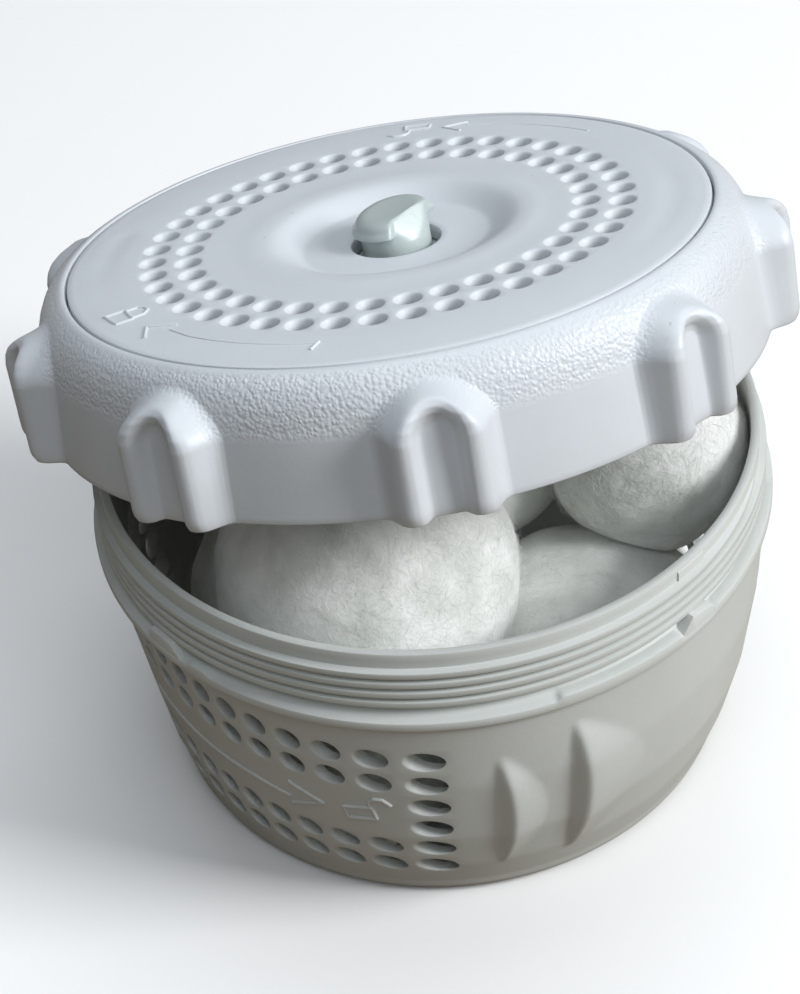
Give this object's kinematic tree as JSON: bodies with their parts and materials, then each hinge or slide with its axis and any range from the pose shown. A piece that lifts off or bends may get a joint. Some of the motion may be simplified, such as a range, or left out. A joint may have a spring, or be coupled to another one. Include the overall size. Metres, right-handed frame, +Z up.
{
  "type": "canister filter",
  "caption": "Round perforated filter basket with a threaded neck, packed with soft fibre balls, and a lobed screw cap standing tilted on them.",
  "frame": {"origin": "centre of the basket's standing face", "axes": "+Z up along the basket's axis, -Y towards the side where the cap stands open, +X to the right seen from there"},
  "size_m": [0.1204, 0.1186, 0.1043],
  "materials": {
    "basket_plastic": "moulded polypropylene, grey, satin",
    "cap_plastic": "moulded polypropylene, pale blue-grey, satin",
    "knob_plastic": "moulded acetal, grey-green, semi-gloss",
    "spring_steel": "drawn stainless wire",
    "fibre": "felted white polyester fibre"
  },
  "bodies": {
    "basket": {"basket_body": "basket_plastic", "fibre_ball_front": "fibre", "fibre_ball_right": "fibre", "fibre_ball_left": "fibre", "fibre_ball_back": "fibre", "fibre_ball_middle": "fibre", "fibre_ball_lower_front": "fibre", "fibre_ball_lower_right": "fibre", "fibre_ball_lower_back": "fibre", "fibre_ball_lower_left": "fibre"},
    "cap": {"cap_disc": "cap_plastic", "knob_spring": "spring_steel", "knob_retainer": "knob_plastic"},
    "ring": {"cap_ring": "cap_plastic"},
    "knob": {"centre_knob": "knob_plastic"}
  },
  "joints": [
    {"name": "cap_lift", "type": "slide", "parent": "basket", "child": "cap", "axis": [-0.0733, 0.2588, 0.9631], "range_m": [0, 0.06]},
    {"name": "ring_turn", "type": "hinge", "parent": "cap", "child": "ring", "pos_m": [-0.0033, 0.0084, 0.091], "axis": [-0.0733, 0.2588, 0.9631], "continuous": true},
    {"name": "knob_press", "type": "slide", "parent": "cap", "child": "knob", "axis": [-0.0733, 0.2588, 0.9631], "range_m": [-0.0035, 0], "stiffness_N_per_m": 400, "springref_m": 0.003, "deforming": ["knob_spring"]}
  ]
}
